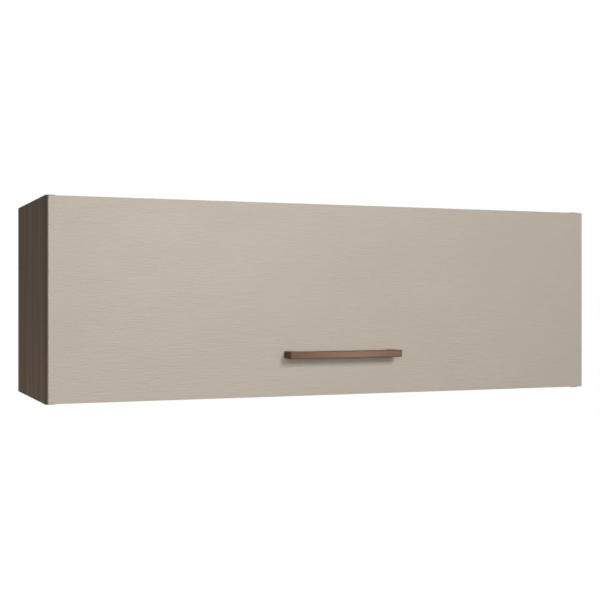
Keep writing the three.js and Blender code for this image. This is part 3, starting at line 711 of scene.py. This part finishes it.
def cross_screw_tree():
    sizes = ("Head Radius", "Head Height", "Head Rim", "Recess Span", "Recess Width",
             "Recess Depth", "Shank Radius", "Shank Length")
    kinds = {**{label: "Float" for label in sizes}, "Seed": "Int", "Finish": "Material"}
    tree, given, made = new_tree("cross_screws", kinds)
    size = {label: given.outputs[label] for label in sizes}
    head = domed_head(tree, size["Head Radius"], size["Head Height"], size["Head Rim"])
    wedges = [
        recess_wedge(tree, size["Recess Span"], size["Recess Width"], size["Recess Depth"],
                     size["Head Height"], turn)
        for turn in (0.0, math.pi / 2)
    ]
    head = boolean(tree, "DIFFERENCE", head, wedges)
    shank = cone(tree, SHANK_SIDES, size["Shank Radius"], times(tree, size["Shank Radius"], TAPER),
                 size["Shank Length"])
    half_rim = times(tree, size["Head Rim"], 0.5)
    sunk = math_node(tree, "SUBTRACT", half_rim, size["Shank Length"])
    screw = boolean(tree, "UNION", head, [moved(tree, shank, upward(tree, sunk))])
    screw = shade_by_angle(tree, screw, SHARP_ANGLE)
    facing = add_node(tree, "GeometryNodeInputNamedAttribute", {"Name": "facing"},
                      data_type="FLOAT_VECTOR")
    turned = add_node(tree, "FunctionNodeAlignRotationToVector",
                      {"Vector": facing.outputs["Attribute"]}, axis="Z")
    copies = {"Points": given.outputs["Geometry"], "Instance": screw, "Rotation": turned.outputs[0]}
    placed = add_node(tree, "GeometryNodeInstanceOnPoints", copies)
    spin = add_node(tree, "FunctionNodeRandomValue", {"Seed": given.outputs["Seed"]},
                    data_type="FLOAT")
    plug(tree, number_socket(spin.inputs, "Max"), math.pi / 2)
    turn = upward(tree, number_socket(spin.outputs, "Value"))
    spun = add_node(tree, "GeometryNodeRotateInstances",
                    {"Instances": placed.outputs[0], "Rotation": turn, "Local Space": True})
    end_tree(tree, made, spun.outputs[0], given.outputs["Finish"])
    return tree


screw_tree = cross_screw_tree()
print("screw tree has", len(screw_tree.nodes), "nodes")

# %% [markdown]
# The points come next: a mesh with no faces, one vertex for each screw. The modifier's result
# is then turned into a plain mesh. That keeps the piece the same wherever it is opened, and the
# modifier can be taken off before the piece is hung on its body.

# %% From points to finished screws
def point_mesh(name, places, facings):
    mesh = bpy.data.meshes.new(name)
    mesh.from_pydata([tuple(place) for place in places], [], [])
    attribute = mesh.attributes.new("facing", "FLOAT_VECTOR", "POINT")
    for index, facing in enumerate(facings):
        attribute.data[index].vector = facing
    return mesh


def grow(name, mesh, tree, values, body):
    """Runs a tree on a mesh, keeps the result as a plain mesh and hangs it on its body."""
    piece = add_object(name, mesh)
    modifier = piece.modifiers.new("grow", "NODES")
    modifier.node_group = tree
    set_inputs(modifier, values)
    evaluated = piece.evaluated_get(bpy.context.evaluated_depsgraph_get())
    result = bpy.data.meshes.new_from_object(evaluated)
    piece.modifiers.clear()
    piece.data = result
    piece.data.name = name
    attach(piece, body)
    return piece


CHIPBOARD_SCREW = {
    "Head Radius": 3.7 * MM, "Head Height": 2.0 * MM, "Head Rim": 0.6 * MM,
    "Recess Span": 4.2 * MM, "Recess Width": 1.0 * MM, "Recess Depth": 1.2 * MM,
    "Shank Radius": 1.7 * MM, "Shank Length": 12.0 * MM,
}
ADJUSTING_SCREW = {
    "Head Radius": 2.3 * MM, "Head Height": 1.5 * MM, "Head Rim": 0.9 * MM,
    "Recess Span": 3.0 * MM, "Recess Width": 0.8 * MM, "Recess Depth": 0.9 * MM,
    "Shank Radius": 1.9 * MM, "Shank Length": 5.0 * MM,
}


def drive_screws(name, spots, sizes, body, seed):
    places, facings = zip(*spots)
    mesh = point_mesh(name, places, facings)
    piece = grow(name, mesh, screw_tree, {**sizes, "Seed": seed, "Finish": nickel_finish},
                 body)
    print(name, "screws:", len(spots), "corners:", len(piece.data.vertices))


HINGES = ("left", "middle", "right")
TO_WALL, DOWN = (0, 1, 0), (0, 0, -1)


def hinge_middle(side):
    low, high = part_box(f"hinge_plate_{side}")
    return (low.x + high.x) / 2


print("hinges at x =", [round(hinge_middle(side), 4) for side in HINGES])

# %% [markdown]
# Where each screw goes follows from its fitting: on the middle line of a hinge plate, a fixed
# step from a bracket's middle, or in the wings beside a hinge cup. The same few steps serve
# the left and the right side, so each list is made by a loop.

# %% Screws of the hinges
CUP_SCREW_REACH = 24 * MM
CUP_SCREW_ABOVE_RING = 10 * MM
PLATE_SCREW_REACH = 16 * MM
PLATE_THICKNESS = 2 * MM
ARM_SCREW_BACKS = (20 * MM, 46 * MM)
ARM_BASE_ABOVE_ARM = 5 * MM


def cup_screw_spots():
    spots = []
    for side in HINGES:
        low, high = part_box(f"hinge_cup_{side}")
        for step in (-CUP_SCREW_REACH, CUP_SCREW_REACH):
            place = (hinge_middle(side) + step, high.y, low.z + CUP_SCREW_ABOVE_RING)
            spots.append((place, TO_WALL))
    return spots


def plate_screw_spots():
    spots = []
    for side in HINGES:
        low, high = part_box(f"hinge_plate_{side}")
        for step in (-PLATE_SCREW_REACH, PLATE_SCREW_REACH):
            place = (hinge_middle(side) + step, (low.y + high.y) / 2, ceiling_z - PLATE_THICKNESS)
            spots.append((place, DOWN))
    return spots


def arm_screw_spots():
    spots = []
    for side in HINGES:
        low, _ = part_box(f"hinge_arm_{side}")
        for back in ARM_SCREW_BACKS:
            place = (hinge_middle(side), front_edge_y + back, low.z + ARM_BASE_ABOVE_ARM)
            spots.append((place, DOWN))
    return spots


drive_screws("hinge_cup_screws", cup_screw_spots(), CHIPBOARD_SCREW, "door", seed=3)
drive_screws("hinge_plate_screws", plate_screw_spots(), CHIPBOARD_SCREW, "carcass", seed=5)
drive_screws("hinge_adjusting_screws", arm_screw_spots(), ADJUSTING_SCREW, "carcass", seed=7)

# %% [markdown]
# The struts' brackets and the steel angles for the wall are flat plates with two screws each,
# one above the other. A bracket on a side panel takes its screws into the side, and one on the
# door into the door's back. The right side mirrors the left, so a sign turns one list into both.

# %% Screws of the struts and the wall brackets
BRACKET_THICKNESS = 2 * MM
SIDE_BRACKET_STEP = 15 * MM
DOOR_BRACKET_STEP = 8 * MM
DOOR_BRACKET_SCREW_FROM_EAR = 14 * MM
WALL_BRACKET_STEP = 10 * MM
WALL_BRACKET_HOLE = 18 * MM
SIDES = (("left", -1), ("right", 1))


def upright_pair(low, high, x, y, step, facing):
    """Two screws in a bracket, one as far below its middle height as the other is above it."""
    middle = (low.z + high.z) / 2
    return [((x, y, middle - step), facing), ((x, y, middle + step), facing)]


def side_bracket_spots():
    spots = []
    for side, sign in SIDES:
        low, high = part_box(f"strut_side_bracket_{side}")
        x, y = sign * (inner_x - BRACKET_THICKNESS), (low.y + high.y) / 2
        spots += upright_pair(low, high, x, y, SIDE_BRACKET_STEP, facing=(-sign, 0, 0))
    return spots


def door_bracket_spots():
    spots = []
    for side, sign in SIDES:
        low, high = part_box(f"strut_door_bracket_{side}")
        ear_x = max(abs(low.x), abs(high.x))
        x, y = sign * (ear_x - DOOR_BRACKET_SCREW_FROM_EAR), door_back_y + BRACKET_THICKNESS
        spots += upright_pair(low, high, x, y, DOOR_BRACKET_STEP, facing=TO_WALL)
    return spots


def wall_bracket_spots():
    spots = []
    for side, sign in SIDES:
        low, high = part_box(f"wall_bracket_{side}")
        x, y = sign * (inner_x - BRACKET_THICKNESS), high.y - WALL_BRACKET_HOLE
        spots += upright_pair(low, high, x, y, WALL_BRACKET_STEP, facing=(-sign, 0, 0))
    return spots


drive_screws("strut_side_screws", side_bracket_spots(), CHIPBOARD_SCREW, "carcass", seed=11)
drive_screws("strut_door_screws", door_bracket_spots(), CHIPBOARD_SCREW, "door", seed=13)
drive_screws("wall_bracket_screws", wall_bracket_spots(), CHIPBOARD_SCREW, "carcass", seed=17)

# %% [markdown]
# ## Nails round the back panel
# The thin back is nailed to the boards' rear edges at an even spacing. This is a path with
# things along it, so the tree turns a rectangle into a curve, resamples it by length, and sets a
# small flat head on each point. Change the spacing and the count follows.

# %% The row of nails
NAIL_SPACING = 95 * MM
NAIL_INSET = 6 * MM
NAIL_HEAD_RADIUS = 2.1 * MM
NAIL_HEAD_HEIGHT = 0.4 * MM
NAIL_PROUD = 0.15 * MM
NAIL_SHANK_LENGTH = 14 * MM
NAIL_HEAD_SIDES = 16
NAIL_SHANK_SIDES = 8

# The nail's other widths are shares of its head's.
HEAD_FACE_SHARE = 0.86
SHANK_SHARE = 0.35
POINT_SHARE = 0.1


def nail_tree():
    tree, given, made = new_tree(
        "nail_row", {"Spacing": "Float", "Head Radius": "Float", "Head Height": "Float",
                     "Shank Length": "Float", "Finish": "Material"})
    path = add_node(tree, "GeometryNodeMeshToCurve", {"Mesh": given.outputs["Geometry"]})
    spaced = add_node(tree, "GeometryNodeResampleCurve",
                      {"Curve": path.outputs[0], "Length": given.outputs["Spacing"]}, mode="LENGTH")
    head_radius, height = given.outputs["Head Radius"], given.outputs["Head Height"]
    head = cone(tree, NAIL_HEAD_SIDES, times(tree, head_radius, HEAD_FACE_SHARE), head_radius, height)
    sunk_head = moved(tree, head, upward(tree, times(tree, height, -1.0)))
    length = given.outputs["Shank Length"]
    shank = cone(tree, NAIL_SHANK_SIDES, times(tree, head_radius, SHANK_SHARE),
                 times(tree, head_radius, POINT_SHARE), length)
    sunk_shank = moved(tree, shank, upward(tree, times(tree, length, -1.0)))
    nail = boolean(tree, "UNION", sunk_head, [sunk_shank])
    copies = {"Points": spaced.outputs[0], "Instance": nail, "Rotation": (-math.pi / 2, 0, 0)}
    placed = add_node(tree, "GeometryNodeInstanceOnPoints", copies)
    end_tree(tree, made, placed.outputs[0], given.outputs["Finish"])
    return tree


def nail_path():
    left, right = back_low.x + NAIL_INSET, back_high.x - NAIL_INSET
    bottom, top = back_low.z + NAIL_INSET, back_high.z - NAIL_INSET
    seat = back_high.y + NAIL_PROUD
    corners = [(left, seat, bottom), (right, seat, bottom), (right, seat, top), (left, seat, top)]
    mesh = bpy.data.meshes.new("nail_path")
    mesh.from_pydata(corners, [(0, 1), (1, 2), (2, 3), (3, 0)], [])
    return mesh


back_nails = grow(
    "back_panel_nails", nail_path(), nail_tree(),
    {"Spacing": NAIL_SPACING, "Head Radius": NAIL_HEAD_RADIUS, "Head Height": NAIL_HEAD_HEIGHT,
     "Shank Length": NAIL_SHANK_LENGTH, "Finish": nickel_finish},
    "carcass")
print("nails:", len(back_nails.data.polygons), "faces")

# %% [markdown]
# ## The gas struts
# A strut is a painted tube with a polished rod that slides in it. Both are turned parts, so
# each is a profile spun round the strut's own axis. The axis comes from the measured model:
# the tube swings about its ball on the side, and the rod slides along a stated direction. The
# tube's mouth is rolled in over the guide, and a rolled groove behind it holds the guide.

# %% A piece spun round the strut's axis
TURNED_SIDES = 48
joints = {joint["name"]: joint for joint in frame["joints"]}


def strut_axis(side):
    foot = Vector(joints[f"strut_tube_swing_{side}"]["pos_m"])
    direction = Vector(joints[f"strut_rod_slide_{side}"]["axis"]).normalized()
    return foot, direction


def reach_along(node, origin, direction):
    """Where a measured piece starts and ends along an axis, and its greatest radius round it."""
    steps = [vertex.co - origin for vertex in nodes[node].data.vertices]
    along = [step.dot(direction) for step in steps]
    radius = max((step - direction * step.dot(direction)).length for step in steps)
    return min(along), max(along), radius


def turn_piece(name, profile, origin, direction, finish):
    """Spins (along, radius) points round an axis. The profile starts and ends on the axis."""
    across = direction.cross(Vector((1, 0, 0))).normalized()
    upright = direction.cross(across)
    shape = bmesh.new()
    rings = []
    for along, radius in profile:
        centre = origin + direction * along
        if radius == 0:
            rings.append([shape.verts.new(centre)])
            continue
        angles = [2 * math.pi * step / TURNED_SIDES for step in range(TURNED_SIDES)]
        rings.append([
            shape.verts.new(centre + (across * math.cos(angle) + upright * math.sin(angle)) * radius)
            for angle in angles
        ])
    for first, second in zip(rings, rings[1:]):
        for step in range(TURNED_SIDES):
            following = (step + 1) % TURNED_SIDES
            corners = [first[step % len(first)], first[following % len(first)],
                       second[following % len(second)], second[step % len(second)]]
            shape.faces.new(list(dict.fromkeys(corners)))
    bmesh.ops.recalc_face_normals(shape, faces=shape.faces)
    mesh = bpy.data.meshes.new(name)
    shape.to_mesh(mesh)
    shape.free()
    mesh.shade_smooth()
    mesh.set_sharp_from_angle(angle=SHARP_ANGLE)
    mesh.materials.append(finish)
    return add_object(name, mesh)


print("axis of the left strut:", [round(share, 3) for share in strut_axis("left")[1]])

# %% [markdown]
# A profile is a list of points, each so far along the axis and so far from it. The tube's goes
# over the outside and back along the bore, so the tube is hollow and the rod can be seen in its
# mouth. Rounded corners are quarter circles of a few points. Each new piece takes the place of
# the measured one, which is plainer, and rides on the same body.

# %% Turned strut tubes and rods
TUBE_WALL = 1.2 * MM
TUBE_FLOOR = 3 * MM
TUBE_MOUTH_RADIUS = 3.3 * MM
GUIDE_LENGTH = 5 * MM
ROLLED_EDGE = 1.6 * MM
GROOVE_DEPTH = 0.8 * MM
GROOVE_WIDTH = 3 * MM
GROOVE_FROM_MOUTH = 8 * MM
PISTON_LENGTH = 8 * MM
ROD_RADIUS = 3 * MM
ROD_LIP = 0.3 * MM
QUARTER_PARTS = 4
QUARTER_STEPS = [math.pi / 2 * step / QUARTER_PARTS for step in range(QUARTER_PARTS + 1)]
GROOVE_PARTS = 5
GROOVE_STEPS = [step / GROOVE_PARTS for step in range(GROOVE_PARTS + 1)]


def tube_profile(start, end, radius):
    """From the closed end over the outside to the mouth, then back along the bore."""
    shoulder = radius - ROLLED_EDGE
    rolled = [(ROLLED_EDGE * (1 - math.cos(angle)), shoulder + ROLLED_EDGE * math.sin(angle))
              for angle in QUARTER_STEPS]
    closed_end = [(start + step, height) for step, height in rolled]
    groove = [(end - GROOVE_FROM_MOUTH - GROOVE_WIDTH * (1 - share),
               radius - GROOVE_DEPTH * math.sin(math.pi * share))
              for share in GROOVE_STEPS]
    mouth = [(end - step, height) for step, height in reversed(rolled)]
    bore = radius - TUBE_WALL
    inside = [(end, TUBE_MOUTH_RADIUS), (end - GUIDE_LENGTH, TUBE_MOUTH_RADIUS),
              (end - GUIDE_LENGTH, bore), (start + TUBE_FLOOR, bore), (start + TUBE_FLOOR, 0.0)]
    return [(start, 0.0), *closed_end, *groove, *mouth, *inside]


def rod_profile(start, end, radius):
    """A piston that fills the bore, and the thin rod that it pushes."""
    shoulder = start + PISTON_LENGTH
    return [(start, 0.0), (start, radius - ROD_LIP), (start + ROD_LIP, radius),
            (shoulder - ROD_LIP, radius), (shoulder, radius - ROD_LIP), (shoulder, ROD_RADIUS),
            (end - ROD_LIP, ROD_RADIUS), (end, ROD_RADIUS - ROD_LIP), (end, 0.0)]


for side, _ in SIDES:
    origin, direction = strut_axis(side)
    for part, profile, finish, slot in (("tube", tube_profile, paint_finish, "black_paint"),
                                        ("rod", rod_profile, chrome_finish, "rod_chrome")):
        start, end, radius = reach_along(f"strut_{part}_{side}", origin, direction)
        piece = turn_piece(f"turned_strut_{part}_{side}", profile(start, end, radius),
                           origin, direction, finish)
        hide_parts(f"strut_{part}_{side}")
        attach(piece, f"strut_{part}_{side}")
        print(piece.name, "from", round(start / MM, 1), "to", round(end / MM, 1), "mm, radius",
              round(radius / MM, 2))

# %% [markdown]
# ## Light and backdrop
# The photograph's background is plain white, but a world that shone that brightly would wash the
# shadows out. The Light Path node tells the two apart: what the camera sees, directly, in a mirror
# or through something clear, gets the full white, and everything else only a weak, even fill.

# %% World
WORLD_FILL = 0.08
WHITE = (1.0, 1.0, 1.0, 1.0)


def seen_by_camera(tree):
    """1 for what the camera sees, directly, in a mirror or through something clear, else 0."""
    rays = add_node(tree, "ShaderNodeLightPath")
    seen = math_node(tree, "MAXIMUM", rays.outputs["Is Camera Ray"], rays.outputs["Is Glossy Ray"])
    return math_node(tree, "MAXIMUM", seen, rays.outputs["Is Transmission Ray"])


def white_world():
    world = bpy.data.worlds.new("white_studio")
    tree = empty_tree(world)
    strength = between(tree, seen_by_camera(tree), WORLD_FILL, 1.0)
    shade = add_node(tree, "ShaderNodeBackground", {"Color": WHITE, "Strength": strength})
    add_node(tree, "ShaderNodeOutputWorld", {"Surface": shade.outputs[0]})
    bpy.context.scene.world = world


white_world()
print("world fill", WORLD_FILL)

# %% [markdown]
# The photograph has one soft key light in front of the door, about 20 degrees above it and a
# little to the right: the handle's shadow falls below the handle and slightly to its left. A
# second, larger lamp at the left softens that shadow and makes the door a little brighter on
# that side. A small lamp stands where the handle mirrors it into the camera, and gives the bar
# its bright middle. A weak lamp low at the left lights the side panel, which gets lighter towards
# its foot. Four more stand behind the door's plane, so that the other sides can be looked at too,
# and change nothing in this view. Their sizes and places are in metres, and their powers in watts.

# %% Lamps
DOOR_MIDDLE = Vector((0.0, door_low.y, 0.0))
KEY_AIM = (-0.05, door_low.y, 0.1)
FRONT_AIM = (-0.2, door_low.y, 0.1)
HANDLE_BRIGHT = (0.012, handle_low.y, (handle_low.z + handle_high.z) / 2)
LEFT_SIDE_MIDDLE = (side_low.x, (side_low.y + side_high.y) / 2, 0.0)
CABINET_MIDDLE = tuple((cad_low + cad_high) / 2)


def soft_lamp(name, place, target, size, power):
    lamp_data = bpy.data.lights.new(name, "AREA")
    lamp_data.shape = "SQUARE"
    lamp_data.size = size
    lamp_data.energy = power
    lamp = add_object(name, lamp_data)
    lamp.location = place
    lamp.rotation_euler = (Vector(target) - Vector(place)).to_track_quat("-Z", "Y").to_euler()
    lamp.visible_camera = False


def from_door(distance, right, up):
    """A place in front of the door's middle, by its distance and its angles in degrees."""
    right, up = math.radians(right), math.radians(up)
    direction = Vector((math.sin(right) * math.cos(up), -math.cos(right) * math.cos(up),
                        math.sin(up)))
    return direction * distance + DOOR_MIDDLE


def mirrored_in_front(point, distance):
    """The place that a flat face towards -Y mirrors into the camera from a point on it."""
    ray = Vector(point) - CAMERA_PLACE
    ray.y = -ray.y
    return Vector(point) + ray.normalized() * distance


soft_lamp("key_lamp", from_door(distance=2.4, right=8.5, up=21), KEY_AIM, size=0.6, power=28.6)
soft_lamp("front_lamp", from_door(distance=2.1, right=-20.5, up=6), FRONT_AIM, size=0.9, power=16.8)
soft_lamp("handle_lamp", mirrored_in_front(HANDLE_BRIGHT, distance=2.6), HANDLE_BRIGHT,
          size=0.2, power=2.7)
soft_lamp("low_left_lamp", (-1.1, -0.12, -1.0), LEFT_SIDE_MIDDLE, size=0.4, power=2.9)
soft_lamp("right_side_lamp", (2.4, 0.35, 0.7), CABINET_MIDDLE, size=1.0, power=20)
soft_lamp("wall_side_lamp", (0.7, 2.3, 0.8), CABINET_MIDDLE, size=1.0, power=24)
soft_lamp("top_lamp", (0.0, 0.4, 2.2), CABINET_MIDDLE, size=1.0, power=14)
soft_lamp("under_lamp", (0.0, 0.35, -1.3), CABINET_MIDDLE, size=0.9, power=8)

# %% [markdown]
# The cabinet hangs high, as one over a refrigerator does, so the floor lies far below it and
# stays outside the photograph's frame. It is a pale disc that shades into plain white towards
# its rim, so no edge shows in other views, while its middle keeps the cabinet's soft shadow.

# %% Floor
FLOOR_DROP = 2.1
FLOOR_RADIUS = 3.4
FLOOR_CENTRE_Y = -0.15
FLOOR_SIDES = 96
FADE_START = 0.35 * FLOOR_RADIUS
FLOOR_DARK, FLOOR_LIGHT = (0.9, 0.9, 0.9, 1.0), (0.93, 0.93, 0.93, 1.0)


def pale_floor():
    finish = bpy.data.materials.new("pale_floor")
    tree = empty_tree(finish)
    place = add_node(tree, "ShaderNodeVectorMath", {0: object_place(tree)}, operation="LENGTH")
    ranges = {"Value": place.outputs["Value"], "From Min": FADE_START, "From Max": FLOOR_RADIUS}
    rim = add_node(tree, "ShaderNodeMapRange", ranges, interpolation_type="SMOOTHSTEP")
    base = mix_colours(tree, noise(tree, evenly(4)), FLOOR_DARK, FLOOR_LIGHT)
    lit = add_node(tree, "ShaderNodeBsdfDiffuse", {"Color": base})
    white = add_node(tree, "ShaderNodeEmission", {"Strength": 1.0})
    glow = add_node(tree, "ShaderNodeEmission", {"Strength": WORLD_FILL})
    edge = add_node(tree, "ShaderNodeMixShader",
                    {0: seen_by_camera(tree), 1: glow.outputs[0], 2: white.outputs[0]})
    both = add_node(tree, "ShaderNodeMixShader",
                    {0: rim.outputs["Result"], 1: lit.outputs[0], 2: edge.outputs[0]})
    add_node(tree, "ShaderNodeOutputMaterial", {"Surface": both.outputs[0]})
    disc = bmesh.new()
    bmesh.ops.create_circle(disc, cap_ends=True, segments=FLOOR_SIDES, radius=FLOOR_RADIUS)
    mesh = bpy.data.meshes.new("floor")
    disc.to_mesh(mesh)
    disc.free()
    mesh.materials.append(finish)
    floor = add_object("floor", mesh)
    floor.location = (0.0, FLOOR_CENTRE_Y, cad_low.z - FLOOR_DROP)


pale_floor()
print("floor lies", FLOOR_DROP, "m below the cabinet")
